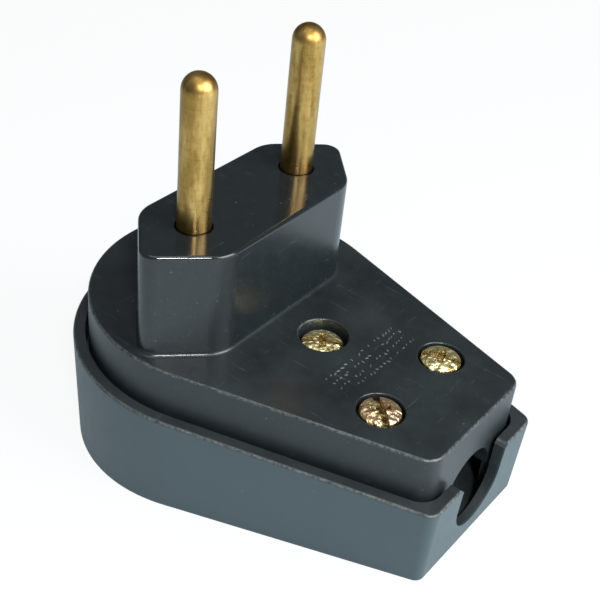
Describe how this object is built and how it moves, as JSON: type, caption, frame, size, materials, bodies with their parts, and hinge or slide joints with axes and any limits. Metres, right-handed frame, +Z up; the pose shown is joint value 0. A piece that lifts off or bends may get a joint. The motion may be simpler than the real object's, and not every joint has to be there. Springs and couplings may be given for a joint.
{
  "type": "angled plug",
  "caption": "Dark plastic mains plug with round brass pins on a hexagonal nose, a sloping back, an open side cord entry and an inner cord clamp.",
  "frame": {"origin": "on the back face, below the middle between the pins", "axes": "+X to the cord exit, +Y to the left pin, +Z up off the back; the pins lean 5.14 degrees from +Z towards +X"},
  "size_m": [0.059, 0.0416, 0.0529],
  "materials": {
    "housing_cover": "satin moulded thermoset, lightly worn",
    "housing_base": "satin moulded thermoset, lightly worn",
    "clamp_plastic": "moulded, matt",
    "pin_brass": "turned",
    "screw_brass": "yellow plated, worn",
    "terminal_brass": "turned",
    "nut_steel": "zinc plated"
  },
  "bodies": {
    "root": {"base": "housing_base", "body_nut": "nut_steel", "body_screw": "screw_brass", "clamp_nut_left": "nut_steel", "clamp_nut_right": "nut_steel", "clamp_screw_left": "screw_brass", "clamp_screw_right": "screw_brass", "cord_clamp": "clamp_plastic", "cover": "housing_cover", "pin_left": "pin_brass", "pin_right": "pin_brass", "terminal_screw_left": "terminal_brass", "terminal_screw_right": "terminal_brass", "terminal_washer_left": "nut_steel", "terminal_washer_right": "nut_steel"}
  },
  "joints": []
}
